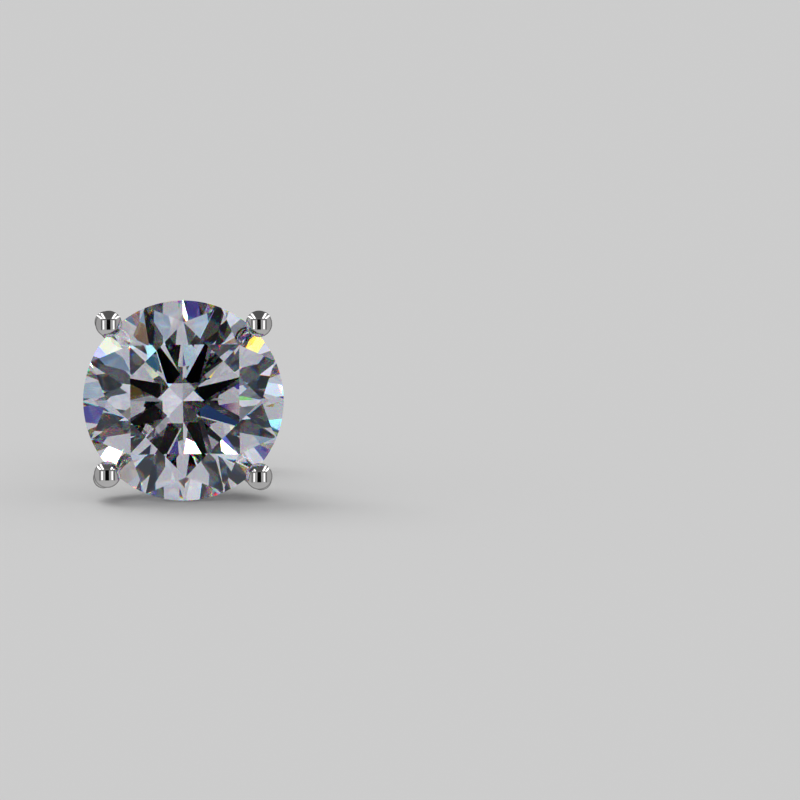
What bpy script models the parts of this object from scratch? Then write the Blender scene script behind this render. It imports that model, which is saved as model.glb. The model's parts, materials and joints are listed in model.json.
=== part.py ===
"""A four-prong stud earring with a round brilliant-cut stone and a friction back.

Metres, +Z up. The earring lies on a flat surface as it comes to rest by itself: on the lowest
point of the stone's girdle and on the lower edges of the back's two scrolls. Its face looks along
-Y and a little upwards, and its post points along +Y. The origin is the middle of the underside
of the whole earring's box.

Every piece is modelled in the face frame first: +Z points out of the stone's table, +Y is up in
the face, and the origin is the middle of the girdle. An empty then tilts the earring to its rest.
"""

import math

import bmesh
import bpy
import numpy as np

MM = 0.001

# Stone: a round brilliant
STONE_DIAMETER = 6.5 * MM
TABLE_WIDTH = 3.8 * MM
CROWN_HEIGHT = 0.95 * MM
GIRDLE_THICKNESS = 0.17 * MM
PAVILION_DEPTH = 2.8 * MM
STAR_SHARE = 0.5
LOWER_GIRDLE_SHARE = 0.78
MAIN_FACETS = 8
GIRDLE_FACETS = 96

# Setting: prongs, gallery rail, base disc and post, soldered into one
PRONG_COUNT = 4
PRONG_DIAMETER = 0.66 * MM
TIP_DIAMETER = 0.86 * MM
TIP_OVERLAP = 0.19 * MM
STONE_CLEARANCE = 0.03 * MM
SHOULDER_DEPTH = 1.0 * MM
SHOULDER_BEND = 0.7 * MM
CULET_CLEARANCE = 0.35 * MM
RAIL_DIAMETER = 0.5 * MM
RAIL_DEPTH = 1.7 * MM
RAIL_INSET = 0.4 * MM
BASE_DIAMETER = 2.9 * MM
BASE_THICKNESS = 0.6 * MM
BASE_CHAMFER = 0.08 * MM
POST_DIAMETER = 0.85 * MM
POST_LENGTH = 10.0 * MM
POST_TIP = 0.5 * MM
NOTCH_FROM_END = 1.7 * MM
NOTCH_WIDTH = 0.5 * MM
NOTCH_DEPTH = 0.08 * MM

# Ear back: a sheet-metal strip with a scroll at each end
LOBE_GAP = 4.3 * MM
STRIP_THICKNESS = 0.35 * MM
STRIP_HEIGHT = 3.8 * MM
SCROLL_RADIUS = 0.75 * MM
SCROLL_TURN = math.radians(290)
POST_CLEARANCE = 0.04 * MM
STRIP_BEVEL = 0.06 * MM

TUBE_RESOLUTION = 3
TIP_SIDES = 16
TIP_ROWS = 12
RAIL_SIDES = 10
RAIL_STEPS = 48
ROUND_SIDES = 32
BEND_STEPS = 7
SCROLL_STEPS = 30

# Worked out from the sizes above, in the face frame
STONE_RADIUS = STONE_DIAMETER / 2
TABLE_RADIUS = TABLE_WIDTH / 2
GIRDLE_TOP = GIRDLE_THICKNESS / 2
TABLE_Z = GIRDLE_TOP + CROWN_HEIGHT
CULET_Z = -GIRDLE_TOP - PAVILION_DEPTH
HALF_STEP = math.pi / MAIN_FACETS
BASE_FRONT = CULET_Z - CULET_CLEARANCE
BASE_BACK = BASE_FRONT - BASE_THICKNESS
POST_END = BASE_BACK - POST_LENGTH
STRIP_FRONT = BASE_BACK - LOBE_GAP
STRIP_MIDDLE = STRIP_FRONT - STRIP_THICKNESS / 2
SCROLL_CENTRE_X = POST_DIAMETER / 2 + POST_CLEARANCE + STRIP_THICKNESS / 2 + SCROLL_RADIUS
SCROLL_BACK = STRIP_MIDDLE - 2 * SCROLL_RADIUS - STRIP_THICKNESS / 2
PRONG_RADIUS_AT_GIRDLE = STONE_RADIUS + STONE_CLEARANCE + PRONG_DIAMETER / 2
PRONG_RADIUS_AT_BASE = BASE_DIAMETER / 2 - PRONG_DIAMETER / 2
TIP_RADIUS_FROM_AXIS = STONE_RADIUS - TIP_OVERLAP + TIP_DIAMETER / 2


def clear_scene():
    """Remove the objects that a new file starts with."""
    for obj in list(bpy.data.objects):
        bpy.data.objects.remove(obj, do_unlink=True)


def new_collection(name):
    collection = bpy.data.collections.new(name)
    bpy.context.scene.collection.children.link(collection)
    return collection


def principled(name, color, metallic, roughness, ior=1.45, transmission=0.0):
    """A plain Principled BSDF material."""
    material = bpy.data.materials.new(name)
    material.use_nodes = True
    shader = material.node_tree.nodes["Principled BSDF"]
    shader.inputs["Base Color"].default_value = (*color, 1.0)
    shader.inputs["Metallic"].default_value = metallic
    shader.inputs["Roughness"].default_value = roughness
    shader.inputs["IOR"].default_value = ior
    shader.inputs["Transmission Weight"].default_value = transmission
    return material


def mesh_object(name, bm, collection):
    """Turn a bmesh into an object in the given collection."""
    mesh = bpy.data.meshes.new(name)
    bm.to_mesh(mesh)
    bm.free()
    obj = bpy.data.objects.new(name, mesh)
    collection.objects.link(obj)
    return obj


def mark_as_tool(obj):
    """Show a cutter or a shape that is joined to another as a wire, and keep it out of renders."""
    obj.hide_render = True
    obj.display_type = "WIRE"


def add_boolean(obj, other, operation):
    boolean = obj.modifiers.new(f"{operation.lower()}_{other.name}", "BOOLEAN")
    boolean.operation = operation
    boolean.solver = "EXACT"
    boolean.object = other
    mark_as_tool(other)


def smooth_by_angle(obj, degrees=35):
    obj.data.shade_smooth()
    obj.data.set_sharp_from_angle(angle=math.radians(degrees))


def star_point():
    """Radius and height of a star facet's outer corner, on the edge between two kites."""
    table_edge = TABLE_RADIUS * math.cos(HALF_STEP)
    radius = table_edge + STAR_SHARE * (STONE_RADIUS - table_edge)
    slope = CROWN_HEIGHT / (STONE_RADIUS - TABLE_RADIUS)
    height = TABLE_Z - (radius * math.cos(HALF_STEP) - TABLE_RADIUS) * slope
    return radius, height


def lower_point():
    """Radius and height where two lower girdle facets end between two pavilion mains."""
    radius = STONE_RADIUS * (1 - LOWER_GIRDLE_SHARE)
    slope = PAVILION_DEPTH / STONE_RADIUS
    return radius, CULET_Z + radius * math.cos(HALF_STEP) * slope


def girdle_edge(inner_radius, inner_height, edge_height, angles):
    """Heights of a girdle edge, where the girdle facets' planes leave the stone's cylinder.

    Each plane holds the inner corner, at the half step, and the two girdle points at the half
    step and at the main facet's middle, which both lie at edge_height. Between those points the
    cylinder bulges past their chord, so the plane meets it a little nearer to the tip.
    """
    chord_normal = HALF_STEP / 2
    chord_distance = STONE_RADIUS * math.cos(chord_normal)
    inner_distance = inner_radius * math.cos(chord_normal)
    slope = (inner_height - edge_height) / (chord_distance - inner_distance)
    off_middle = np.mod(angles, HALF_STEP) - chord_normal
    return edge_height - (STONE_RADIUS * np.cos(off_middle) - chord_distance) * slope


def ring(radius, angles, heights):
    """Points at the given angles round the axis."""
    heights = np.broadcast_to(heights, angles.shape)
    return np.column_stack([radius * np.cos(angles), radius * np.sin(angles), heights])


def build_stone(collection):
    """The cut stone, as the hull of its table, stars, girdle, lower corners and culet."""
    mains = HALF_STEP * (1 + 2 * np.arange(MAIN_FACETS))
    halves = HALF_STEP * 2 * np.arange(MAIN_FACETS)
    rim = 2 * math.pi * np.arange(GIRDLE_FACETS) / GIRDLE_FACETS
    star_radius, star_height = star_point()
    low_radius, low_height = lower_point()
    upper_rim = girdle_edge(star_radius, star_height, GIRDLE_TOP, rim)
    lower_rim = girdle_edge(low_radius, low_height, -GIRDLE_TOP, rim)
    points = np.vstack([
        ring(TABLE_RADIUS, mains, TABLE_Z),
        ring(star_radius, halves, star_height),
        ring(STONE_RADIUS, rim, upper_rim),
        ring(STONE_RADIUS, rim, lower_rim),
        ring(low_radius, halves, low_height),
        [[0.0, 0.0, CULET_Z]],
    ])
    bm = bmesh.new()
    for point in points / MM:
        bm.verts.new(point)
    bmesh.ops.convex_hull(bm, input=bm.verts)
    bmesh.ops.dissolve_limit(bm, angle_limit=math.radians(0.1), verts=bm.verts, edges=bm.edges)
    bmesh.ops.scale(bm, vec=(MM, MM, MM), verts=bm.verts)
    return mesh_object("stone", bm, collection)


def quadratic_bend(start, corner, end, steps):
    """Points of a smooth bend that leaves start towards corner and arrives at end from corner."""
    t = np.linspace(0.0, 1.0, steps)[:, None]
    start, corner, end = np.array(start), np.array(corner), np.array(end)
    return (1 - t) ** 2 * start + 2 * t * (1 - t) * corner + t ** 2 * end


def tip_height():
    """Height of a ball tip's middle, where the ball clears the crown by STONE_CLEARANCE."""
    star_radius, star_height = star_point()
    slope = math.atan2(star_height - GIRDLE_TOP, STONE_RADIUS - star_radius)
    reach = TIP_DIAMETER / 2 + STONE_CLEARANCE
    outside = TIP_RADIUS_FROM_AXIS - STONE_RADIUS
    return GIRDLE_TOP + (reach - outside * math.sin(slope)) / math.cos(slope)


def prong_route():
    """A prong's middle line as radius and height: up from the base, upright past the girdle, tip."""
    foot = np.array([PRONG_RADIUS_AT_BASE, (BASE_FRONT + BASE_BACK) / 2])
    shoulder = np.array([PRONG_RADIUS_AT_GIRDLE, -SHOULDER_DEPTH])
    down = (foot - shoulder) / np.linalg.norm(foot - shoulder)
    bend_start = shoulder + down * SHOULDER_BEND
    bend_end = shoulder + np.array([0.0, min(SHOULDER_BEND, SHOULDER_DEPTH)])
    bend = quadratic_bend(bend_start, shoulder, bend_end, BEND_STEPS)
    neck = [PRONG_RADIUS_AT_GIRDLE, GIRDLE_TOP + STONE_CLEARANCE]
    tip = [TIP_RADIUS_FROM_AXIS, tip_height()]
    return np.vstack([[foot], bend, [neck], [tip]])


def tube(name, points, diameter, collection):
    """A round wire along the given points, as a mesh with closed ends."""
    curve = bpy.data.curves.new(name, "CURVE")
    curve.dimensions = "3D"
    curve.bevel_depth = diameter / 2
    curve.bevel_resolution = TUBE_RESOLUTION
    curve.use_fill_caps = True
    spline = curve.splines.new("POLY")
    spline.points.add(len(points) - 1)
    for spline_point, point in zip(spline.points, points):
        spline_point.co = (*point, 1.0)
    wire = bpy.data.objects.new(name + "_wire", curve)
    collection.objects.link(wire)
    depsgraph = bpy.context.evaluated_depsgraph_get()
    mesh = bpy.data.meshes.new_from_object(wire.evaluated_get(depsgraph))
    obj = bpy.data.objects.new(name, mesh)
    collection.objects.link(obj)
    obj.matrix_world = wire.matrix_world
    bpy.data.objects.remove(wire, do_unlink=True)
    bm = bmesh.new()
    bm.from_mesh(mesh)
    bmesh.ops.remove_doubles(bm, verts=bm.verts, dist=0.002 * MM)
    bmesh.ops.recalc_face_normals(bm, faces=bm.faces)
    bm.to_mesh(mesh)
    bm.free()
    return obj


def prong_angle(index):
    """Prongs stand on the diagonals of the face."""
    return 2 * math.pi * (index + 0.5) / PRONG_COUNT


def build_prong(index, tools):
    """One prong: its wire and its ball tip."""
    angle = prong_angle(index)
    route = prong_route()
    across = np.array([math.cos(angle), math.sin(angle), 0.0])
    points = route[:, :1] * across + route[:, 1:] * np.array([0.0, 0.0, 1.0])
    wire = tube(f"prong_wire_{index}", points, PRONG_DIAMETER, tools)
    bm = bmesh.new()
    bmesh.ops.create_uvsphere(bm, u_segments=TIP_SIDES, v_segments=TIP_ROWS, radius=TIP_DIAMETER / 2)
    ball = mesh_object(f"prong_tip_{index}", bm, tools)
    ball.location = (TIP_RADIUS_FROM_AXIS * across[0], TIP_RADIUS_FROM_AXIS * across[1], tip_height())
    return [wire, ball]


def build_rail(tools):
    """The gallery rail, a round ring soldered inside the prongs."""
    route = prong_route()
    radius = float(np.interp(-RAIL_DEPTH, route[:, 1], route[:, 0])) - RAIL_INSET
    bpy.ops.mesh.primitive_torus_add(
        major_radius=radius,
        minor_radius=RAIL_DIAMETER / 2,
        major_segments=RAIL_STEPS,
        minor_segments=RAIL_SIDES,
        location=(0.0, 0.0, -RAIL_DEPTH),
    )
    rail = bpy.context.object
    rail.name = "gallery_rail"
    move_to_collection(rail, tools)
    return rail


def move_to_collection(obj, collection):
    for old in list(obj.users_collection):
        old.objects.unlink(obj)
    collection.objects.link(obj)


def turned(name, profile, collection):
    """A solid turned round Z from a profile of radius and height, listed from top to bottom."""
    mesh = bpy.data.meshes.new(name)
    points = [(radius, 0.0, height) for radius, height in profile]
    mesh.from_pydata(points, [(i, i + 1) for i in range(len(points) - 1)], [])
    obj = bpy.data.objects.new(name, mesh)
    collection.objects.link(obj)
    screw = obj.modifiers.new("turn", "SCREW")
    screw.steps = ROUND_SIDES
    screw.render_steps = ROUND_SIDES
    screw.use_merge_vertices = True
    screw.merge_threshold = 0.0001 * MM
    return obj


def base_and_post_profile():
    """Radius and height from the base disc's front, over its rim, down the notched post to its tip."""
    base = BASE_DIAMETER / 2
    post = POST_DIAMETER / 2
    notch = POST_END + NOTCH_FROM_END
    profile = [
        (0.0, BASE_FRONT),
        (base - BASE_CHAMFER, BASE_FRONT),
        (base, BASE_FRONT - BASE_CHAMFER),
        (base, BASE_BACK + BASE_CHAMFER),
        (base - BASE_CHAMFER, BASE_BACK),
        (post, BASE_BACK),
        (post, notch + NOTCH_WIDTH / 2),
        (post - NOTCH_DEPTH, notch + NOTCH_WIDTH / 6),
        (post - NOTCH_DEPTH, notch - NOTCH_WIDTH / 6),
        (post, notch - NOTCH_WIDTH / 2),
    ]
    for turn in np.linspace(0.0, math.pi / 2, 6):
        profile.append((post * math.cos(turn), POST_END + POST_TIP * (1 - math.sin(turn))))
    profile[-1] = (0.0, POST_END)
    return profile


def build_setting(collection, tools):
    """The base disc and post, with the gallery rail and the prongs soldered on."""
    setting = turned("setting", base_and_post_profile(), collection)
    joined = [build_rail(tools)]
    for index in range(PRONG_COUNT):
        joined += build_prong(index, tools)
    for piece in joined:
        add_boolean(setting, piece, "UNION")
    smooth_by_angle(setting)
    return setting


def scroll_arc(radius):
    """Points along the right scroll at the given radius, from the plate round to the post."""
    turn = np.linspace(0.0, SCROLL_TURN, SCROLL_STEPS)
    across = SCROLL_CENTRE_X + radius * np.sin(turn)
    return np.column_stack([across, STRIP_MIDDLE - SCROLL_RADIUS + radius * np.cos(turn)])


def strip_outline():
    """Closed outline of the strip seen along its height: the right scroll, then its mirror."""
    outer = scroll_arc(SCROLL_RADIUS + STRIP_THICKNESS / 2)
    inner = scroll_arc(SCROLL_RADIUS - STRIP_THICKNESS / 2)
    right = np.vstack([outer, inner[::-1]])
    return np.vstack([right, right[::-1] * np.array([-1.0, 1.0])])


def build_ear_back(collection, tools):
    """The friction back: a strip whose ends are rolled into two scrolls that grip the post."""
    outline = strip_outline()
    curve = bpy.data.curves.new("strip", "CURVE")
    curve.dimensions = "2D"
    curve.fill_mode = "BOTH"
    curve.extrude = STRIP_HEIGHT / 2
    spline = curve.splines.new("POLY")
    spline.points.add(len(outline) - 1)
    for spline_point, (x, z) in zip(spline.points, outline):
        spline_point.co = (x, -z, 0.0, 1.0)
    spline.use_cyclic_u = True
    flat = bpy.data.objects.new("strip_outline", curve)
    flat.rotation_euler = (-math.pi / 2, 0.0, 0.0)
    collection.objects.link(flat)
    bpy.context.view_layer.update()
    depsgraph = bpy.context.evaluated_depsgraph_get()
    mesh = bpy.data.meshes.new_from_object(flat.evaluated_get(depsgraph))
    mesh.transform(flat.matrix_world)
    ear_back = bpy.data.objects.new("ear_back", mesh)
    collection.objects.link(ear_back)
    bpy.data.objects.remove(flat, do_unlink=True)
    bm = bmesh.new()
    bm.from_mesh(mesh)
    bmesh.ops.remove_doubles(bm, verts=bm.verts, dist=0.002 * MM)
    bmesh.ops.recalc_face_normals(bm, faces=bm.faces)
    bm.to_mesh(mesh)
    bm.free()
    bevel = ear_back.modifiers.new("edges", "BEVEL")
    bevel.width = STRIP_BEVEL
    bevel.segments = 1
    bevel.limit_method = "ANGLE"
    bevel.angle_limit = math.radians(50)
    bpy.ops.mesh.primitive_cylinder_add(
        vertices=ROUND_SIDES,
        radius=POST_DIAMETER / 2 + POST_CLEARANCE,
        depth=4 * STRIP_THICKNESS,
        location=(0.0, 0.0, STRIP_MIDDLE),
    )
    hole = bpy.context.object
    hole.name = "post_hole"
    move_to_collection(hole, tools)
    add_boolean(ear_back, hole, "DIFFERENCE")
    smooth_by_angle(ear_back)
    return ear_back


def rest_tilt():
    """Angle by which the face looks up when girdle and scrolls both touch the surface."""
    drop = STONE_RADIUS - STRIP_HEIGHT / 2
    run = -GIRDLE_TOP - SCROLL_BACK - STRIP_BEVEL
    return math.atan2(drop, run)


def world_corners(objects):
    """Lowest and highest corner of the evaluated objects."""
    bpy.context.view_layer.update()
    depsgraph = bpy.context.evaluated_depsgraph_get()
    corners = []
    for obj in objects:
        evaluated = obj.evaluated_get(depsgraph)
        mesh = evaluated.to_mesh()
        points = np.empty(len(mesh.vertices) * 3)
        mesh.vertices.foreach_get("co", points)
        matrix = np.array(obj.matrix_world)
        placed = points.reshape(-1, 3) @ matrix[:3, :3].T + matrix[:3, 3]
        corners += [placed.min(axis=0), placed.max(axis=0)]
        evaluated.to_mesh_clear()
    return np.min(corners, axis=0), np.max(corners, axis=0)


def lay_to_rest(pieces, tools, collection):
    """Tilt the earring to its rest and put the origin under the middle of its box."""
    frame = bpy.data.objects.new("face_frame", None)
    collection.objects.link(frame)
    for obj in [*pieces, *tools.objects]:
        obj.parent = frame
    frame.rotation_euler = (math.pi / 2 - rest_tilt(), 0.0, 0.0)
    low, high = world_corners(pieces)
    frame.location = (-(low[0] + high[0]) / 2, -(low[1] + high[1]) / 2, -low[2])


def build():
    clear_scene()
    collection = new_collection("stud_earring")
    tools = new_collection("cutters_and_joined_shapes")
    stone = build_stone(collection)
    setting = build_setting(collection, tools)
    ear_back = build_ear_back(collection, tools)
    white_gold = principled("white_gold", (0.83, 0.83, 0.85), metallic=1.0, roughness=0.08)
    clear_stone = principled("clear_stone", (1.0, 1.0, 1.0), 0.0, 0.0, ior=2.42, transmission=1.0)
    stone.data.materials.append(clear_stone)
    setting.data.materials.append(white_gold)
    ear_back.data.materials.append(white_gold)
    lay_to_rest([stone, setting, ear_back], tools, collection)


build()
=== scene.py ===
"""A stud earring, lying on a pale floor: a round brilliant in four prongs with ball tips.

The fixed frame gives the sizes. Every new piece is worked out in the face frame, where +Z points
out of the stone's table, +Y is up in the face and the origin is the middle of the girdle, and is
then placed in the world, so finished objects sit at the origin, unturned and unscaled.
"""

import json
import math

import bmesh
import bpy
import numpy as np
from mathutils import Matrix, Vector


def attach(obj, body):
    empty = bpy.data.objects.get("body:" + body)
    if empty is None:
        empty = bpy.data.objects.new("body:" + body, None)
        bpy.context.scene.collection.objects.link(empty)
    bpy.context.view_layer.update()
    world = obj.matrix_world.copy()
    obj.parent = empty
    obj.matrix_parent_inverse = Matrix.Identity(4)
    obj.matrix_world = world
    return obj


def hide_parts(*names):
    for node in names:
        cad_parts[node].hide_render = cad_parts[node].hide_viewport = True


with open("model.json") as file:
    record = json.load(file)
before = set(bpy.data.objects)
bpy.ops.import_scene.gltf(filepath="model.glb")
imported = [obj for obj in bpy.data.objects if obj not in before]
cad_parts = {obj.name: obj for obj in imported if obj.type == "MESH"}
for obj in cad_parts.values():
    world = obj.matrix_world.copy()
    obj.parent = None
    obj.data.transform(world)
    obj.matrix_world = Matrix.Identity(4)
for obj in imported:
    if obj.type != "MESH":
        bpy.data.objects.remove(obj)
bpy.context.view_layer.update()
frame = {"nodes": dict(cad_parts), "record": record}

MM = 0.001
BODY = "root"

# The photograph: where the stone is, in its 800 x 800 frame
IMAGE_SIZE = 800
STONE_PIXEL = (183.6, 399.3)
STONE_RADIUS_PIXELS = 100.0

# Camera: a long lens, a little to the left of the stone's axis and a little below it
LENS_MM = 180.0
SENSOR_MM = 36.0
CAMERA_TO_LEFT = math.radians(2.5)
CAMERA_BELOW = math.radians(2.0)
NEAREST_SEEN = 0.001
FURTHEST_SEEN = 60.0

# Cut of the stone, in mm, and how far its facets stray from the plain cut
TABLE_RADIUS = 1.9
CROWN_HEIGHT = 0.95
GIRDLE_TOP = 0.085
PAVILION_DEPTH = 2.8
STAR_SHARE = 0.5
LOWER_SHARE = 0.78
MAIN_FACETS = 8
GIRDLE_SIDES = 96
TURN_ERROR = math.radians(0.30)
TIP_ERROR = math.radians(0.105)
CUT_SEED = 9
BLANK_SPARE = 0.2
GRIND_TOLERANCE = 0.00001
MERGE_DISTANCE = 0.0002
SLIVER_LENGTH = 0.0001
RIM_TOLERANCE = 0.001

# Prongs, in mm and in the face frame
STONE_CLEARANCE = 0.03
PRONG_ANGLES = (45.0, 134.2, 223.5, 313.8)
PRONG_RADIUS = 0.33
TIP_RADIUS = 0.43
TIP_OVERLAP = 0.22
TIP_HEIGHT = 0.487
TIP_FILLET = 0.05
SHOULDER_DEPTH = 1.0
SHOULDER_BEND = 0.7
NECK_BEND = 0.12
FOOT_INSET = 0.03

# Gallery rail, base disc and post, in mm
RAIL_RADIUS = 0.25
RAIL_DEPTH = 1.7
RAIL_INSET = 0.4
BASE_RADIUS = 1.45
BASE_THICKNESS = 0.6
BASE_ROUNDING = 0.08
CULET_TO_BASE = 0.35
POST_RADIUS = 0.425
POST_LENGTH = 10.0
POST_TIP = 0.5
POST_FILLET = 0.12
NOTCH_FROM_END = 1.7
NOTCH_WIDTH = 0.5
NOTCH_DEPTH = 0.08

# Friction back, in mm
LOBE_GAP = 4.3
STRIP_HALF_THICKNESS = 0.175
STRIP_HALF_HEIGHT = 1.9
STRIP_ROUNDING = 0.06
END_SHRINK = 0.9
SCROLL_RADIUS = 0.75
SCROLL_TURN = math.radians(290)
POST_CLEARANCE = 0.04
HOLE_LIP = 0.12
CUTTER_SPARE = 0.2

# How finely each skin is laid out: points round it, and rings along it
PRONG_SIDES = 48
WIRE_RINGS = 70
BALL_RINGS = 44
RAIL_SIDES = 32
RAIL_RINGS = 128
BASE_SIDES = 96
GROOVE_RINGS = 17
DOME_RINGS = 16
SCROLL_RINGS = 72
END_RINGS = 6
CORNER_POINTS = 7
HOLE_SIDES = 64

# Extra rings and points: in mm from an edge or the axis, as a share of a corner's rounding, and in
# radians from the pole of a ball or a dome
BESIDE_EDGE = 0.02
BESIDE_CORNER = 0.15
BESIDE_BALL_POLE = 0.06
BESIDE_DOME_POLE = 0.05

# Above these angles, in degrees, an edge stays sharp
SHARP_EDGE = 50.0
SHARP_CUT_EDGE = 30.0

# Clear stone: its refraction, how far red and blue stray from it, and its waves of polish
STONE_IOR = 2.417
FIRE = 0.035
WAVE_SCALE = 1500.0
WAVE_HEIGHT = 0.000001

# White gold: its two tones, its roughness, and the scale and depth of its clouds and hairlines
GOLD_TONES = ((0.30, (0.76, 0.75, 0.75, 1.0)), (0.70, (0.84, 0.83, 0.83, 1.0)))
GOLD_ROUGHNESS = 0.03
CLOUD_ROUGHNESS = 0.05
CLOUD_SCALE = 900.0
HAIRLINE_SCALE = (9000.0, 9000.0, 900.0)
HAIRLINE_DEPTH = 0.00001

# Floor and the light on it. The floor's squares grow from the first reach, in metres
FLOOR_TONE = 0.72
FLOOR_SEEN = 0.607
FLOOR_REACH = 0.01
FLOOR_DOUBLINGS = 12
AMBIENT = 0.62
KEY_STRENGTH = 0.9
KEY_WIDTH = math.radians(40)
KEY_TURN = (math.radians(-32), math.radians(-24), 0.0)

# The studio is laid out as a mirror ball in front of the stone shows it: how far aside and how far
# above, from 0 at the ball's middle to 1 at its edge. A pair is where a soft edge starts and ends,
# or for a tube or a frame how far along it reaches.
CAMERA_SLOT_SIDE = (0.13, 0.17)
CAMERA_SLOT_FOOT = (-0.47, -0.43)
CAMERA_SLOT_HEAD = (0.33, 0.38)
TOP_GAP_FOOT = (0.34, 0.40)
TOP_GAP_SLANT = 0.52
TOP_GAP_SIDE = (-0.02, 0.02)
SOFT_END = 0.02
BAND_SOFTNESS = 0.3
LOW_WALL_EDGE = (0.40, 0.50)
BACK_EDGE = (0.88, 1.0)
SIDE_FRAME = 0.54
SIDE_FRAME_REACH = (-0.46, 0.33)
TOP_FRAME = 0.34
TOP_FRAME_REACH = (0.15, 0.56)
FRAME_HALF_WIDTH = 0.03
TUBE = 0.38
TUBE_REACH = (-0.41, 0.25)
TUBE_HALF_WIDTH = 0.05
TUBE_WIDENING = 0.02
# Tubes over the panels: where the foot is aside, the slant outwards, and the reach upwards
TOP_TUBES = ((0.30, 0.6, (0.39, 0.78)), (0.50, 1.1, (0.37, 0.62)))

# What the metal mirrors of it, and the share that the stone's surface mirrors
WALL = 0.40
LOW_WALL = 0.07
DIM_TOP = 0.10
BACK_SHADE = 0.75
FRAME_SHADE = 0.9
DARKEST = 0.002
TUBE_GLOW = 1.2
TOP_TUBE_GLOW = 2.0
BEHIND_STONE_SHADE = 0.75
SURFACE_SHARE = 0.5
SURFACE_TINT = (0.88, 0.98, 1.16)

# What light that has been inside the stone meets of it
STONE_TINT = (0.93, 0.94, 1.06)
FRONT_EDGE = (-0.35, 0.25)
BEHIND_LEVEL = 0.008
PANEL_LEVEL = 0.600
TOP_GAP_LEVEL = 0.075
SLOT_NARROWING = 1.2
SLOT_LEVEL = 0.02
LOW_SLOT_EDGE = (0.07, 0.11)
LEAST_LEVEL = 0.001
CAMERA_DISC = (0.14, 0.17)
TUBE_LEVEL = 0.25
LAMP_SOFTNESS = 0.15

# Small lamps and dark cards, seen only through the stone: degrees from its axis, degrees round it
# from across towards up, half their width in degrees, and their colour
LAMPS = (
    (48, 157, 3.8, (0.01, 0.01, 0.012)),
    (44, 109, 3.0, (0.05, 0.05, 0.055)),
    (44, 148, 2.2, (0.13, 0.085, 0.025)),
    (30, 51, 2.5, (0.52, 0.70, 0.84)),
    (42, 97, 2.6, (0.05, 0.17, 0.28)),
    (42, 162, 3.5, (4.0, 3.9, 2.8)),
    (36, 138, 2.5, (5.0, 5.0, 5.0)),
    (39, -162, 2.5, (1.0, 1.05, 0.78)),
    (24, 12, 2.2, (0.50, 0.62, 0.78)),
    (39, -24, 2.5, (2.4, 1.25, 0.12)),
    (39, 126, 3.0, (0.12, 0.60, 0.04)),
    (12, -12, 2.5, (0.02, 0.05, 0.15)),
    (33, -6, 1.3, (2.2, 2.4, 1.9)),
    (18, -24, 2.0, (0.60, 1.2, 1.4)),
    (39, 72, 3.0, (0.88, 1.05, 1.28)),
    (42, 18, 3.2, (0.055, 0.045, 0.28)),
    (33, -30, 2.4, (0.055, 0.045, 0.28)),
    (39, -120, 3.0, (0.07, 0.055, 0.32)),
    (42, -54, 2.2, (5.0, 5.0, 5.0)),
    (33, -168, 3.5, (5.0, 5.0, 4.2)),
    (42, -150, 1.2, (0.86, 0.19, 0.26)),
    (21, -12, 2.0, (0.9, 0.85, 1.05)),
)

# Rendering: how often light may bend or bounce, and how far stray sparkles are blurred
BOUNCES = 24
SPARKLE_BLUR = 0.5


def mount(name):
    """A mount's record from the frame."""
    return next(entry for entry in frame["record"]["mounts"] if entry["name"] == name)


def node_points(name):
    """The vertices of a node of the frame, one row each."""
    mesh = frame["nodes"][name].data
    points = np.empty(len(mesh.vertices) * 3)
    mesh.vertices.foreach_get("co", points)
    return points.reshape(-1, 3)


class Face:
    """The face frame: its three directions in the world and its origin, read from the frame."""

    def __init__(self):
        self.out = -np.array(mount("lobe_seat")["axis"], float)
        self.out /= np.linalg.norm(self.out)
        self.across = np.array([1.0, 0.0, 0.0])
        self.up = np.cross(self.out, self.across)
        points = node_points("stone")
        height = points @ self.up
        middle = (height.min() + height.max()) / 2
        depth = points @ self.out
        rim = height > height.max() - RIM_TOLERANCE * MM
        girdle = (depth[rim].min() + depth[rim].max()) / 2
        self.origin = self.up * middle + self.out * girdle
        self.stone_radius = (height.max() - height.min()) / 2

    def place(self, points):
        """Points of the face frame in mm, placed in the world in metres."""
        basis = np.array([self.across, self.up, self.out])
        return np.asarray(points, float) * MM @ basis + self.origin


face = Face()
STONE_RADIUS = face.stone_radius / MM
TABLE_HEIGHT = GIRDLE_TOP + CROWN_HEIGHT
CULET_DEPTH = GIRDLE_TOP + PAVILION_DEPTH
BASE_FRONT = -CULET_DEPTH - CULET_TO_BASE
BASE_BACK = BASE_FRONT - BASE_THICKNESS
POST_END = BASE_BACK - POST_LENGTH
PRONG_AT_GIRDLE = STONE_RADIUS + STONE_CLEARANCE + PRONG_RADIUS
STRIP_MIDDLE = BASE_BACK - LOBE_GAP - STRIP_HALF_THICKNESS
SCROLL_CENTRE = POST_RADIUS + POST_CLEARANCE + STRIP_HALF_THICKNESS + SCROLL_RADIUS


class Value:
    """A socket that adds Math nodes when it is used in sums."""

    def __init__(self, sheet, socket):
        self.sheet = sheet
        self.socket = socket

    def math(self, operation, *others):
        """A Math node on this value and the others."""
        inputs = dict(enumerate((self, *others)))
        return self.sheet.node("ShaderNodeMath", {"operation": operation}, inputs)

    def __add__(self, other):
        return self.math("ADD", other)

    def __sub__(self, other):
        return self.math("SUBTRACT", other)

    def __mul__(self, other):
        return self.math("MULTIPLY", other)

    def __rsub__(self, other):
        return self.sheet.node("ShaderNodeMath", {"operation": "SUBTRACT"}, {0: other, 1: self})

    def __neg__(self):
        return 0 - self

    __radd__ = __add__
    __rmul__ = __mul__


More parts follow.
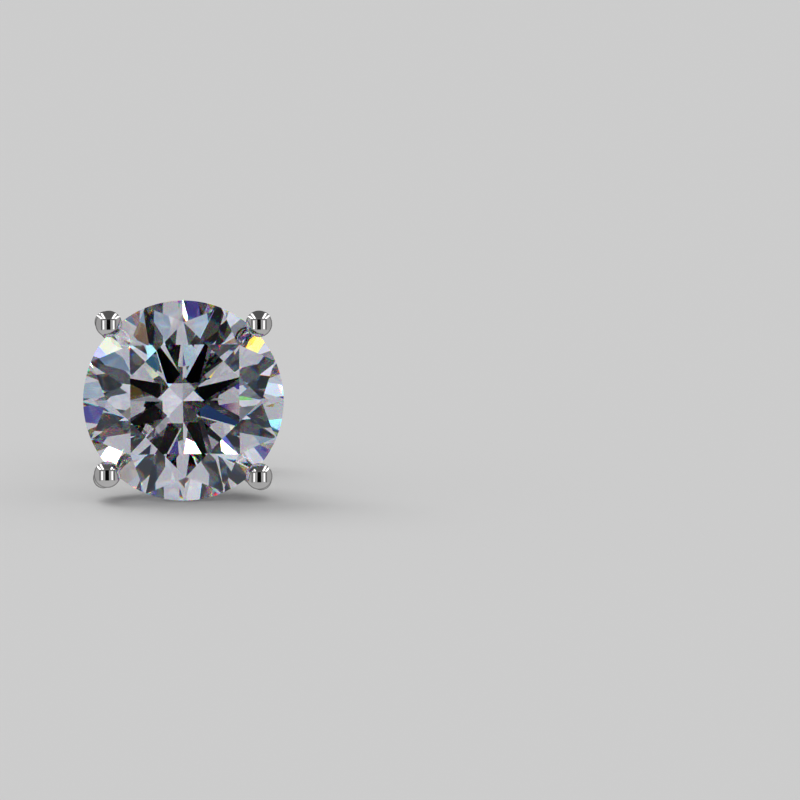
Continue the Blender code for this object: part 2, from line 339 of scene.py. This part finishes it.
class Sheet:
    """A node tree that is being filled: each node comes from one call."""

    def __init__(self, owner):
        owner.use_nodes = True
        self.tree = owner.node_tree
        self.tree.nodes.clear()

    def node(self, kind, settings=None, sockets=None, output=0):
        """Add a node: first its settings, then the values or links of its sockets."""
        made = self.tree.nodes.new(kind)
        for name, value in (settings or {}).items():
            if name == "stops":
                self.set_stops(made.color_ramp, value)
            else:
                setattr(made, name, value)
        for name, value in (sockets or {}).items():
            if isinstance(value, Value):
                self.tree.links.new(value.socket, made.inputs[name])
            else:
                made.inputs[name].default_value = value
        return Value(self, made.outputs[output]) if len(made.outputs) else None

    def set_stops(self, ramp, stops):
        """Give a colour ramp its stops, each a position and a colour."""
        for _ in range(len(stops) - 2):
            ramp.elements.new(0.5)
        for element, (position, color) in zip(ramp.elements, stops):
            element.position = position
            element.color = color

    def dot(self, vector, direction):
        """The share of a vector along a fixed direction."""
        return self.node("ShaderNodeVectorMath", {"operation": "DOT_PRODUCT"},
                         {0: vector, 1: tuple(direction)}, output="Value")

    def unit(self, vector):
        """A vector's direction, with length 1."""
        return self.node("ShaderNodeVectorMath", {"operation": "NORMALIZE"}, {0: vector})

    def scaled(self, color, level):
        """A fixed colour times a level."""
        return self.node("ShaderNodeVectorMath", {"operation": "SCALE"}, {0: color, "Scale": level})

    def blend(self, share, first, second):
        """The first colour where share is 0 and the second where it is 1."""
        return self.node("ShaderNodeMix", {"data_type": "RGBA"}, {0: share, 6: first, 7: second},
                         output=2)

    def smooth(self, value, low, high):
        """0 below low, 1 above high and a smooth step between."""
        return self.node("ShaderNodeMapRange", {"interpolation_type": "SMOOTHSTEP"},
                         {"Value": value, "From Min": low, "From Max": high})

    def band(self, value, middle, half_width):
        """1 where value is within half_width of middle, with a soft edge."""
        away = (value - middle).math("ABSOLUTE")
        inner, outer = (1 - BAND_SOFTNESS) * half_width, (1 + BAND_SOFTNESS) * half_width
        return 1 - self.smooth(away, inner, outer)

    def between(self, value, low, high):
        """1 from low to high, with soft ends."""
        started = self.smooth(value, low - SOFT_END, low + SOFT_END)
        return started * (1 - self.smooth(value, high - SOFT_END, high + SOFT_END))


def grey(level):
    """An even grey as a colour."""
    return (level, level, level, 1.0)


def new_material(name):
    """A material and the sheet of its nodes."""
    material = bpy.data.materials.new(name)
    return material, Sheet(material)


def stone_material():
    """Clear cut stone with the faintest waves of polish.

    Light is bent once for each of three colours where it enters, and alike for all where it
    leaves. Each colour is three times as strong, because it gets a third of the light.
    """
    material, sheet = new_material("clear_stone")
    place = sheet.node("ShaderNodeTexCoord", output="Object")
    waves = sheet.node("ShaderNodeTexNoise", {}, {
        "Vector": place, "Scale": WAVE_SCALE, "Detail": 2.0})
    polish = sheet.node("ShaderNodeBump", {}, {
        "Strength": 0.3, "Distance": WAVE_HEIGHT, "Height": waves})
    red, green, blue = [
        sheet.node("ShaderNodeBsdfGlass", {"distribution": "BECKMANN"}, {
            "Color": color, "Roughness": 0.0, "IOR": STONE_IOR + shift, "Normal": polish})
        for color, shift in (((3, 0, 0, 1), -FIRE), ((0, 3, 0, 1), 0.0), ((0, 0, 3, 1), FIRE))]
    pair = sheet.node("ShaderNodeMixShader", {}, {0: 0.5, 1: red, 2: green})
    entering = sheet.node("ShaderNodeMixShader", {}, {0: 1 / 3, 1: pair, 2: blue})
    leaving = sheet.node("ShaderNodeBsdfGlass", {"distribution": "BECKMANN"}, {
        "Color": (1, 1, 1, 1), "Roughness": 0.0, "IOR": STONE_IOR})
    inside = sheet.node("ShaderNodeNewGeometry", output="Backfacing")
    surface = sheet.node("ShaderNodeMixShader", {}, {0: inside, 1: entering, 2: leaving})
    sheet.node("ShaderNodeOutputMaterial", {}, {"Surface": surface})
    return material


def metal_material(name):
    """Polished white gold: faint clouds of polish in its roughness, and hairline scratches."""
    material, sheet = new_material(name)
    place = sheet.node("ShaderNodeTexCoord", output="Object")
    clouds = sheet.node("ShaderNodeTexNoise", {}, {
        "Vector": place, "Scale": CLOUD_SCALE, "Detail": 4.0})
    tone = sheet.node("ShaderNodeValToRGB", {"stops": GOLD_TONES}, {"Fac": clouds})
    drawn = sheet.node("ShaderNodeMapping", {}, {"Vector": place, "Scale": HAIRLINE_SCALE})
    hairlines = sheet.node("ShaderNodeTexNoise", {}, {"Vector": drawn, "Scale": 1.0, "Detail": 3.0})
    fine = sheet.node("ShaderNodeBump", {}, {
        "Strength": 0.04, "Distance": HAIRLINE_DEPTH, "Height": hairlines})
    surface = sheet.node("ShaderNodeBsdfPrincipled", {}, {
        "Base Color": tone,
        "Metallic": 1.0,
        "Roughness": GOLD_ROUGHNESS + CLOUD_ROUGHNESS * clouds,
        "Normal": fine,
    })
    sheet.node("ShaderNodeOutputMaterial", {}, {"Surface": surface})
    return material


def new_object(name, data):
    """An object in the scene for a mesh, a camera or a light."""
    made = bpy.data.objects.new(name, data)
    bpy.context.scene.collection.objects.link(made)
    return made


def stand_for(piece, node):
    """Let a piece ride on the body in place of a node of the frame."""
    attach(piece, BODY)
    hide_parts(node)


def skin(name, rings, material, loop=False):
    """A closed skin over rings of points: quads between neighbours and a fan at each end.

    Rings are listed along the piece, each with as many points. With loop, the last ring meets the
    first one and there are no fans. The faces are turned outwards by the sign of the volume, the
    sum over the quads of a corner's product with the cross product of the two next ones.
    """
    rows, columns = rings.shape[:2]
    points = rings.reshape(-1, 3)
    row, column = np.meshgrid(
        np.arange(rows if loop else rows - 1), np.arange(columns), indexing="ij")
    here, above = row * columns, (row + 1) % rows * columns
    beside = (column + 1) % columns
    quads = np.stack([here + column, here + beside, above + beside, above + column], axis=-1)
    quads = quads.reshape(-1, 4)
    faces = quads.tolist()
    if not loop:
        around = np.arange(columns)
        following = (around + 1) % columns
        first = np.full(columns, len(points))
        last = first + 1
        final = (rows - 1) * columns
        faces += np.stack([following, around, first], axis=-1).tolist()
        faces += np.stack([around + final, following + final, last], axis=-1).tolist()
        points = np.vstack([points, rings[0].mean(axis=0), rings[-1].mean(axis=0)])
    corners = points[quads]
    volume = np.einsum("ij,ij->i", corners[:, 0], np.cross(corners[:, 1], corners[:, 2])).sum()
    volume += np.einsum("ij,ij->i", corners[:, 0], np.cross(corners[:, 2], corners[:, 3])).sum()
    if volume < 0:
        faces = [corner[::-1] for corner in faces]
    mesh = bpy.data.meshes.new(name)
    mesh.from_pydata(face.place(points).tolist(), [], faces)
    mesh.shade_smooth()
    mesh.set_sharp_from_angle(angle=math.radians(SHARP_EDGE))
    mesh.materials.append(material)
    return new_object(name, mesh)


def carried(path, sections, along, out, side):
    """Sections carried along a flat path.

    A point is the path's point, in the plane of along and out, plus the section's first number
    along the path's normal in that plane, plus its second number along side.
    """
    tangent = np.gradient(path, axis=0)
    tangent /= np.linalg.norm(tangent, axis=1)[:, None]
    middle = path[:, :1] * along + path[:, 1:] * out
    normal = -tangent[:, 1:] * along + tangent[:, :1] * out
    sections = np.broadcast_to(sections, (len(path), *np.shape(sections)[-2:]))
    return middle[:, None] + sections[..., :1] * normal[:, None] + sections[..., 1:] * side


def whole_turn(steps):
    """Angles evenly round a circle, in radians."""
    return 2 * math.pi * np.arange(steps) / steps


def turned(profile, steps):
    """A profile of distance from the axis and height, turned round the axis: one ring a point."""
    turn = whole_turn(steps)
    across = profile[:, :1] * np.cos(turn)
    up = profile[:, :1] * np.sin(turn)
    return np.stack([across, up, np.broadcast_to(profile[:, 1:], across.shape)], axis=-1)


def circle(sides):
    """Points of a circle of radius 1: the cosine and the sine of each angle."""
    turn = whole_turn(sides)
    return np.column_stack([np.cos(turn), np.sin(turn)])


def arc(centre, radius, start, end, steps=10):
    """Points of a circle's arc; the angles are in degrees."""
    turn = np.radians(np.linspace(start, end, steps))
    return np.column_stack([centre[0] + radius * np.cos(turn), centre[1] + radius * np.sin(turn)])


def bend(before, corner, after, reach, steps=24):
    """A corner rounded by a parabola that leaves each straight line at reach from the corner."""
    before, corner, after = (np.array(point, float) for point in (before, corner, after))
    start = corner + (before - corner) / np.linalg.norm(before - corner) * reach
    end = corner + (after - corner) / np.linalg.norm(after - corner) * reach
    t = np.linspace(0.0, 1.0, steps)[:, None]
    return (1 - t) ** 2 * start + 2 * t * (1 - t) * corner + t ** 2 * end


def walked(route):
    """Length along a route up to each of its points."""
    return np.concatenate([[0.0], np.cumsum(np.linalg.norm(np.diff(route, axis=0), axis=1))])


def at_lengths(route, lengths):
    """Points of a route at the given lengths along it."""
    walk = walked(route)
    return np.column_stack([np.interp(lengths, walk, route[:, i]) for i in range(route.shape[1])])


def smooth_step(value, low, high):
    """0 below low, 1 above high, and three times the square less twice the cube between."""
    t = np.clip((value - low) / (high - low), 0.0, 1.0)
    return t * t * (3 - 2 * t)


def ring_point(radius, turn, height):
    """Points on a level circle, one for each turn."""
    across, up = radius * np.cos(turn), radius * np.sin(turn)
    return np.stack([across, up, np.full(across.shape, height)], axis=-1)


def facet_planes():
    """The facets of a round brilliant, each as a unit normal out of the stone and a point.

    A facet's plane goes through three points of the plain cut: corners of the table, star points,
    points of the girdle, and for the pavilion the culet and points a little above it. It is then
    turned round the axis and tipped about its first point by small deviations, as polishing
    leaves them. The table comes first and stays true.
    """
    half = math.pi / MAIN_FACETS
    main = half * (1 + 2 * np.arange(MAIN_FACETS))
    table_edge = TABLE_RADIUS * math.cos(half)
    star_radius = table_edge + STAR_SHARE * (STONE_RADIUS - table_edge)
    slope = CROWN_HEIGHT / (STONE_RADIUS - TABLE_RADIUS)
    star_height = TABLE_HEIGHT - (star_radius * math.cos(half) - TABLE_RADIUS) * slope
    low_radius = STONE_RADIUS * (1 - LOWER_SHARE)
    low_height = low_radius * math.cos(half) * PAVILION_DEPTH / STONE_RADIUS - CULET_DEPTH

    corner = ring_point(TABLE_RADIUS, main, TABLE_HEIGHT)
    corner_before = ring_point(TABLE_RADIUS, main - 2 * half, TABLE_HEIGHT)
    star = ring_point(star_radius, main - half, star_height)
    next_star = ring_point(star_radius, main + half, star_height)
    rim = ring_point(STONE_RADIUS, main - half, GIRDLE_TOP)
    rim_middle = ring_point(STONE_RADIUS, main, GIRDLE_TOP)
    next_rim = ring_point(STONE_RADIUS, main + half, GIRDLE_TOP)
    low = ring_point(low_radius, main - half, low_height)
    next_low = ring_point(low_radius, main + half, low_height)
    culet = ring_point(0.0, main, -CULET_DEPTH)
    down = np.array([1.0, 1.0, -1.0])

    kinds = np.array([
        [corner, star, next_star],
        [star, corner_before, corner],
        [rim, star, rim_middle],
        [next_rim, next_star, rim_middle],
        [culet, low, next_low],
        [rim * down, low, rim_middle * down],
        [next_rim * down, next_low, rim_middle * down],
    ])
    triples = kinds.transpose(2, 0, 1, 3).reshape(-1, 3, 3)
    points = triples[:, 0]
    normals = np.cross(triples[:, 1] - points, triples[:, 2] - points)
    normals /= np.linalg.norm(normals, axis=1)[:, None]
    normals *= np.sign(np.einsum("ij,ij->i", normals, points))[:, None]
    stray = np.random.default_rng(CUT_SEED).normal(size=(len(normals), 2))
    azimuth = np.arctan2(normals[:, 1], normals[:, 0]) + TURN_ERROR * stray[:, 0]
    rise = np.arcsin(normals[:, 2]) + TIP_ERROR * stray[:, 1]
    level = np.cos(rise)
    normals = np.column_stack([level * np.cos(azimuth), level * np.sin(azimuth), np.sin(rise)])
    normals = np.vstack([[0.0, 0.0, 1.0], normals])
    return normals, np.vstack([[0.0, 0.0, TABLE_HEIGHT], points])


def make_stone(material):
    """The cut stone: a round blank of GIRDLE_SIDES sides, ground away beyond each facet's plane."""
    blank = bmesh.new()
    length = CULET_DEPTH + TABLE_HEIGHT + BLANK_SPARE
    middle = Matrix.Translation((0.0, 0.0, (TABLE_HEIGHT - CULET_DEPTH) / 2))
    bmesh.ops.create_cone(blank, cap_ends=True, segments=GIRDLE_SIDES, radius1=STONE_RADIUS,
                          radius2=STONE_RADIUS, depth=length, matrix=middle)
    for normal, point in zip(*facet_planes()):
        whole = blank.verts[:] + blank.edges[:] + blank.faces[:]
        ground = bmesh.ops.bisect_plane(blank, geom=whole, dist=GRIND_TOLERANCE, plane_co=point,
                                        plane_no=normal, clear_outer=True)
        rim = [part for part in ground["geom_cut"] if isinstance(part, bmesh.types.BMEdge)]
        bmesh.ops.edgeloop_fill(blank, edges=rim)
    bmesh.ops.remove_doubles(blank, verts=blank.verts[:], dist=MERGE_DISTANCE)
    bmesh.ops.dissolve_degenerate(blank, edges=blank.edges[:], dist=SLIVER_LENGTH)
    bmesh.ops.recalc_face_normals(blank, faces=blank.faces[:])
    mesh = bpy.data.meshes.new("cut_stone")
    blank.to_mesh(mesh)
    blank.free()
    points = np.empty(len(mesh.vertices) * 3)
    mesh.vertices.foreach_get("co", points)
    mesh.vertices.foreach_set("co", face.place(points.reshape(-1, 3)).reshape(-1))
    mesh.update()
    mesh.materials.append(material)
    stand_for(new_object("cut_stone", mesh), "stone")


def prong_route():
    """A prong's middle line, as distance from the axis and height: base, shoulder, neck, tip."""
    foot = (BASE_RADIUS - PRONG_RADIUS - FOOT_INSET, (BASE_FRONT + BASE_BACK) / 2)
    shoulder = (PRONG_AT_GIRDLE, -SHOULDER_DEPTH)
    neck = (PRONG_AT_GIRDLE, GIRDLE_TOP + STONE_CLEARANCE)
    tip = np.array([STONE_RADIUS - TIP_OVERLAP + TIP_RADIUS, TIP_HEIGHT])
    lean = (tip - neck) / np.linalg.norm(tip - neck)
    end = tip + lean * TIP_RADIUS
    return np.vstack([
        [foot],
        bend(foot, shoulder, neck, SHOULDER_BEND),
        bend(shoulder, neck, tip, NECK_BEND),
        [end],
    ])


def prong_rings(angle):
    """A prong: a round wire that swells into a ball.

    The radius at each length is the smooth maximum of the wire's radius and the ball's, the root
    of the ball's radius squared less the distance from its middle squared. The wire's share fades
    out at the ball's middle.
    """
    route = prong_route()
    middle = walked(route)[-1] - TIP_RADIUS
    start = middle - TIP_RADIUS
    wire = np.linspace(0.0, start, WIRE_RINGS)
    turn = np.linspace(-math.pi / 2, math.pi / 2 - BESIDE_BALL_POLE, BALL_RINGS)[1:]
    lengths = np.concatenate([wire, middle + TIP_RADIUS * np.sin(turn)])
    ball_radius = np.sqrt(np.clip(TIP_RADIUS ** 2 - (lengths - middle) ** 2, 0.0, None))
    fade = 1 - smooth_step(lengths, start, middle)
    wire_radius = PRONG_RADIUS * fade
    gap = wire_radius - ball_radius
    radius = (wire_radius + ball_radius + np.sqrt(gap ** 2 + (TIP_FILLET * fade) ** 2)) / 2
    radius = np.where(lengths < start, PRONG_RADIUS, radius)
    sections = circle(PRONG_SIDES) * radius[:, None, None]
    along = np.array([math.cos(angle), math.sin(angle), 0.0])
    out = np.array([0.0, 0.0, 1.0])
    return carried(at_lengths(route, lengths), sections, along, out, np.cross(along, out))


def rail_rings():
    """The gallery rail: a circle turned round the axis, at RAIL_DEPTH, inside the prongs."""
    route = prong_route()
    radius = float(np.interp(-RAIL_DEPTH, route[:, 1], route[:, 0])) - RAIL_INSET
    return turned(np.array([radius, -RAIL_DEPTH]) + circle(RAIL_SIDES) * RAIL_RADIUS, RAIL_RINGS)


def base_and_post_profile():
    """The base disc with rounded rims, a fillet, the post with a round groove and its domed end.

    The groove's depth follows one wave of a cosine, and the dome is half an ellipse.
    """
    rim = BASE_RADIUS - BASE_ROUNDING
    fillet = POST_RADIUS + POST_FILLET
    notch = POST_END + NOTCH_FROM_END
    groove = np.linspace(1.0, -1.0, GROOVE_RINGS)
    groove_radius = POST_RADIUS - NOTCH_DEPTH * (1 + np.cos(math.pi * groove)) / 2
    dome = np.linspace(0.0, math.pi / 2 - BESIDE_DOME_POLE, DOME_RINGS)
    return np.vstack([
        [[BESIDE_EDGE, BASE_FRONT], [rim - BESIDE_EDGE, BASE_FRONT]],
        arc((rim, BASE_FRONT - BASE_ROUNDING), BASE_ROUNDING, 90, 0),
        arc((rim, BASE_BACK + BASE_ROUNDING), BASE_ROUNDING, 0, -90),
        [[rim - BESIDE_EDGE, BASE_BACK], [fillet + BESIDE_EDGE, BASE_BACK]],
        arc((fillet, BASE_BACK - POST_FILLET), POST_FILLET, 90, 180),
        np.column_stack([groove_radius, notch + groove * NOTCH_WIDTH / 2]),
        np.column_stack([POST_RADIUS * np.cos(dome), POST_END + POST_TIP * (1 - np.sin(dome))]),
    ])


def rounded_rectangle(half_width, half_height, rounding):
    """Outline of a rectangle: four arcs at its corners, and a point close to each on its sides."""
    a, b = half_width - rounding, half_height - rounding
    near = BESIDE_CORNER * rounding
    corners = [arc((sign_a * a, sign_b * b), rounding, start, start + 90, CORNER_POINTS)
               for sign_a, sign_b, start in ((1, 1, 0), (-1, 1, 90), (-1, -1, 180), (1, -1, 270))]
    return np.vstack([
        [[half_width, b - near]],
        *corners[:2],
        [[-half_width, b - near], [-half_width, near - b]],
        *corners[2:],
        [[half_width, near - b]],
    ])


def strip_path():
    """The strip's middle line: the right scroll from its free end, the plate, the left scroll.

    A scroll is an arc of a circle that starts level with the plate.
    """
    turn = np.linspace(SCROLL_TURN, 0.0, SCROLL_RINGS)
    across = SCROLL_CENTRE + SCROLL_RADIUS * np.sin(turn)
    height = STRIP_MIDDLE - SCROLL_RADIUS + SCROLL_RADIUS * np.cos(turn)
    right = np.column_stack([across, height])
    return np.vstack([right, [[0.0, STRIP_MIDDLE]], right[::-1] * np.array([-1.0, 1.0])])


def strip_rings():
    """The friction back: a rounded rectangle carried along the scrolls and the plate between.

    Near each end the rectangle shrinks along a quarter circle, which rounds the strip's ends.
    """
    path = strip_path()
    length = walked(path)
    ends = STRIP_ROUNDING * (1 - np.cos(np.linspace(0.0, math.pi / 2, END_RINGS)))
    lengths = np.unique(np.concatenate([ends, length[2:-2], length[-1] - ends]))
    from_end = np.minimum(lengths, length[-1] - lengths)
    short = np.clip(STRIP_ROUNDING - from_end, 0.0, None)
    inset = STRIP_ROUNDING - np.sqrt(np.clip(STRIP_ROUNDING ** 2 - short ** 2, 0.0, None))
    full = rounded_rectangle(STRIP_HALF_THICKNESS, STRIP_HALF_HEIGHT, STRIP_ROUNDING)
    shrink = END_SHRINK * STRIP_ROUNDING
    small = rounded_rectangle(STRIP_HALF_THICKNESS - shrink, STRIP_HALF_HEIGHT - shrink,
                              STRIP_ROUNDING - shrink)
    share = np.clip(inset / STRIP_ROUNDING, 0.0, 1.0)[:, None, None]
    across, up, out = np.eye(3)
    return carried(at_lengths(path, lengths), full * (1 - share) + small * share, across, out, up)


def hole_profile():
    """The hole in the plate: round, with a round lip at both faces, and longer than the plate."""
    lip = POST_RADIUS + POST_CLEARANCE + HOLE_LIP
    front, back = STRIP_MIDDLE + STRIP_HALF_THICKNESS, STRIP_MIDDLE - STRIP_HALF_THICKNESS
    return np.vstack([
        [[lip, front + CUTTER_SPARE]],
        arc((lip, front - HOLE_LIP), HOLE_LIP, 90, 180),
        arc((lip, back + HOLE_LIP), HOLE_LIP, 180, 270),
        [[lip, back - CUTTER_SPARE]],
    ])


def pierce(piece, cutter):
    """Cut the cutter out of the piece, and keep only the cut mesh."""
    cut = piece.modifiers.new("hole", "BOOLEAN")
    cut.operation = "DIFFERENCE"
    cut.solver = "EXACT"
    cut.object = cutter
    depsgraph = bpy.context.evaluated_depsgraph_get()
    mesh = bpy.data.meshes.new_from_object(piece.evaluated_get(depsgraph))
    piece.modifiers.clear()
    piece.data = mesh
    bpy.data.objects.remove(cutter, do_unlink=True)
    mesh.shade_smooth()
    mesh.set_sharp_from_angle(angle=math.radians(SHARP_CUT_EDGE))


def make_setting(metal):
    """Prongs, gallery rail, and base disc with post."""
    pieces = [skin(f"prong_{i}", prong_rings(math.radians(angle)), metal)
              for i, angle in enumerate(PRONG_ANGLES)]
    pieces.append(skin("gallery_rail", rail_rings(), metal, loop=True))
    pieces.append(skin("base_and_post", turned(base_and_post_profile(), BASE_SIDES), metal))
    for piece in pieces:
        stand_for(piece, "setting")


def make_ear_back(metal):
    """The friction back, with the hole that the post goes through."""
    piece = skin("friction_back", strip_rings(), metal)
    pierce(piece, skin("hole_cutter", turned(hole_profile(), HOLE_SIDES), metal))
    stand_for(piece, "ear_back")


def view_axes():
    """Right, up and towards the camera, as the camera sees the stone."""
    level = face.out * math.cos(CAMERA_BELOW) - face.up * math.sin(CAMERA_BELOW)
    to_camera = level * math.cos(CAMERA_TO_LEFT) - face.across * math.sin(CAMERA_TO_LEFT)
    right = np.cross([0.0, 0.0, 1.0], to_camera)
    right /= np.linalg.norm(right)
    return right, np.cross(to_camera, right), to_camera


def make_camera():
    """Aim past the stone, so that it falls where the photograph has it."""
    focal_pixels = IMAGE_SIZE * LENS_MM / SENSOR_MM
    distance = focal_pixels * face.stone_radius / STONE_RADIUS_PIXELS
    beside = (STONE_PIXEL[0] - IMAGE_SIZE / 2) / focal_pixels
    above = (IMAGE_SIZE / 2 - STONE_PIXEL[1]) / focal_pixels
    right, up, to_camera = view_axes()
    forward = -to_camera - right * beside - up * above
    forward /= np.linalg.norm(forward)
    right = np.cross(forward, [0.0, 0.0, 1.0])
    right /= np.linalg.norm(right)
    up = np.cross(right, forward)
    data = bpy.data.cameras.new("camera")
    data.lens = LENS_MM
    data.sensor_width = SENSOR_MM
    data.clip_start = NEAREST_SEEN
    data.clip_end = FURTHEST_SEEN
    camera = new_object("camera", data)
    rotation = Matrix(np.column_stack([right, up, -forward]).tolist())
    position = Vector(face.origin + to_camera * distance)
    camera.matrix_world = Matrix.Translation(position) @ rotation.to_4x4()
    bpy.context.scene.camera = camera


def ball_picture(sheet, direction):
    """Where a mirror ball in front of the stone shows a direction: how far aside, and above.

    The halfway direction between the given one and the photograph's gives the two numbers: 0 is
    the ball's middle, which mirrors what is in front, and 1 its edge, which mirrors what is behind.
    """
    right, up, to_camera = view_axes()
    halfway = sheet.unit(sheet.node("ShaderNodeVectorMath", {"operation": "ADD"}, {
        0: sheet.unit(direction), 1: tuple(to_camera)}))
    return sheet.dot(halfway, right).math("ABSOLUTE"), sheet.dot(halfway, up)


def from_middle(aside, above):
    """How far a place on the mirror ball is from its middle."""
    return (aside * aside + above * above).math("SQRT")


def camera_slot(sheet, aside, above):
    """1 in the dark upright slot between the front panels, where the camera stands."""
    slot = (1 - sheet.smooth(aside, *CAMERA_SLOT_SIDE)) * sheet.smooth(above, *CAMERA_SLOT_FOOT)
    return slot * (1 - sheet.smooth(above, *CAMERA_SLOT_HEAD))


def top_gap(sheet, aside, above):
    """1 in the dim wedge over the front panels."""
    beyond_side = sheet.smooth(aside - TOP_GAP_SLANT * above, *TOP_GAP_SIDE)
    return sheet.smooth(above, *TOP_GAP_FOOT) * (1 - beyond_side)


def upright_tube(sheet, aside, above):
    """1 in the bright upright tube of a front panel."""
    return sheet.band(aside, TUBE, TUBE_HALF_WIDTH) * sheet.between(above, *TUBE_REACH)


def mirrored_studio(sheet, direction):
    """What polished surfaces mirror: pale walls, two front panels with a slot between, and tubes.

    Each front panel has a dark frame and a bright upright tube. Two short tubes stand over each,
    slanting outwards, with the dim top between, and the walls grow darker towards the back.
    """
    aside, above = ball_picture(sheet, direction)
    slot = camera_slot(sheet, aside, above)
    top = top_gap(sheet, aside, above)
    level = WALL + LOW_WALL * sheet.smooth(-above, *LOW_WALL_EDGE)
    level = level * (1 - BACK_SHADE * sheet.smooth(from_middle(aside, above), *BACK_EDGE))
    level = level * (1 - top) + DIM_TOP * top
    side_frame = (sheet.band(aside, SIDE_FRAME, FRAME_HALF_WIDTH)
                  * sheet.between(above, *SIDE_FRAME_REACH))
    top_frame = (sheet.band(above, TOP_FRAME, FRAME_HALF_WIDTH)
                 * sheet.between(aside, *TOP_FRAME_REACH))
    level = level * (1 - FRAME_SHADE * side_frame) * (1 - FRAME_SHADE * top_frame)
    level = level * (1 - slot) + DARKEST
    level = level + TUBE_GLOW * upright_tube(sheet, aside, above)
    for foot, slant, reach in TOP_TUBES:
        half_width = TUBE_HALF_WIDTH + TUBE_WIDENING * slant
        tube = sheet.band(aside - slant * (above - reach[0]), foot, half_width)
        level = level + TOP_TUBE_GLOW * tube * sheet.between(above, *reach)
    return level


def studio_through_stone(sheet, direction):
    """What light that has been inside the stone meets: the panels, darkness behind, and lamps.

    The dark slot is narrower than in the mirrored studio, with a dark disc where the camera is.
    """
    aside, above = ball_picture(sheet, direction)
    slot = camera_slot(sheet, SLOT_NARROWING * aside, above)
    top = top_gap(sheet, aside, above)
    unit = sheet.unit(direction)
    front = sheet.smooth(sheet.dot(unit, face.out), *FRONT_EDGE)
    level = BEHIND_LEVEL + PANEL_LEVEL * front
    level = level * (1 - top) + TOP_GAP_LEVEL * top * front
    level = level * (1 - slot) + SLOT_LEVEL * slot * sheet.smooth(-above, *LOW_SLOT_EDGE)
    level = (level + LEAST_LEVEL) * sheet.smooth(from_middle(aside, above), *CAMERA_DISC)
    level = level + TUBE_LEVEL * upright_tube(sheet, aside, above)
    color = sheet.scaled(STONE_TINT, level)
    for from_axis, round_axis, half_width, glow in LAMPS:
        away, turn = math.radians(from_axis), math.radians(round_axis)
        side = math.cos(turn) * face.across + math.sin(turn) * face.up
        lamp = math.cos(away) * face.out + math.sin(away) * side
        outer = math.cos(math.radians((1 + LAMP_SOFTNESS) * half_width))
        inner = math.cos(math.radians((1 - LAMP_SOFTNESS) * half_width))
        lit = sheet.smooth(sheet.dot(unit, lamp), outer, inner)
        color = sheet.blend(lit, color, (*glow, 1.0))
    return color


def make_floor():
    """A wide pale floor, in squares that double with their distance from the earring."""
    reach = FLOOR_REACH * 2.0 ** np.arange(FLOOR_DOUBLINGS)
    line = np.concatenate([-reach[::-1], [0.0], reach])
    across, along = np.meshgrid(line, line, indexing="ij")
    points = np.stack([across, along, np.zeros_like(across)], axis=-1).reshape(-1, 3)
    step = np.arange(len(line) - 1)
    first = (step[:, None] * len(line) + step).reshape(-1)
    corners = np.stack([first, first + len(line), first + len(line) + 1, first + 1], axis=-1)
    mesh = bpy.data.meshes.new("floor")
    mesh.from_pydata(points.tolist(), [], corners.tolist())
    material, sheet = new_material("pale_floor")
    pale = sheet.node("ShaderNodeBsdfPrincipled", {}, {
        "Base Color": grey(FLOOR_TONE),
        "Roughness": 0.9,
        "Specular IOR Level": 0.0,
    })
    sheet.node("ShaderNodeOutputMaterial", {}, {"Surface": pale})
    mesh.materials.append(material)
    floor = new_object("floor", mesh)
    floor.visible_glossy = False
    floor.visible_transmission = False


def make_world():
    """Plain soft light on the floor, and the studio for the stone and the metal.

    The sharp reflections are the stone's own: its surface mirrors the studio more faintly.
    """
    world = bpy.data.worlds.new("studio")
    bpy.context.scene.world = world
    sheet = Sheet(world)
    direction = sheet.node("ShaderNodeTexCoord", output="Generated")
    studio = mirrored_studio(sheet, direction)
    behind_stone = sheet.node("ShaderNodeLightPath", output="Transmission Depth")
    on_metal = 1 - BEHIND_STONE_SHADE * sheet.smooth(behind_stone, 0.0, 1.0)
    on_stone = sheet.scaled(SURFACE_TINT, studio)
    through_stone = studio_through_stone(sheet, direction)
    surface = sheet.node("ShaderNodeBackground", {}, {"Color": grey(AMBIENT)})
    for kind, color, strength in (("Is Camera Ray", grey(FLOOR_SEEN), 1.0),
                                  ("Is Glossy Ray", studio, on_metal),
                                  ("Is Singular Ray", on_stone, SURFACE_SHARE),
                                  ("Is Transmission Ray", through_stone, 1.0)):
        seen = sheet.node("ShaderNodeBackground", {}, {"Color": color, "Strength": strength})
        share = sheet.node("ShaderNodeLightPath", output=kind)
        surface = sheet.node("ShaderNodeMixShader", {}, {0: share, 1: surface, 2: seen})
    sheet.node("ShaderNodeOutputWorld", {}, {"Surface": surface})


def make_key_light():
    """A broad soft light on the floor, left out of what the stone and the metal mirror."""
    data = bpy.data.lights.new("key", "SUN")
    data.energy = KEY_STRENGTH
    data.angle = KEY_WIDTH
    light = new_object("key", data)
    light.rotation_euler = KEY_TURN
    light.visible_glossy = False
    light.visible_transmission = False


def render_choices():
    """Enough bounces for light that is mirrored many times inside the stone."""
    scene = bpy.context.scene
    scene.cycles.max_bounces = BOUNCES
    scene.cycles.glossy_bounces = BOUNCES
    scene.cycles.transmission_bounces = BOUNCES
    scene.cycles.blur_glossy = SPARKLE_BLUR
    scene.view_settings.view_transform = "Standard"
    scene.view_settings.look = "None"


make_camera()
make_floor()
make_world()
make_key_light()
render_choices()
make_stone(stone_material())
make_setting(metal_material("white_gold"))
make_ear_back(metal_material("white_gold_back"))
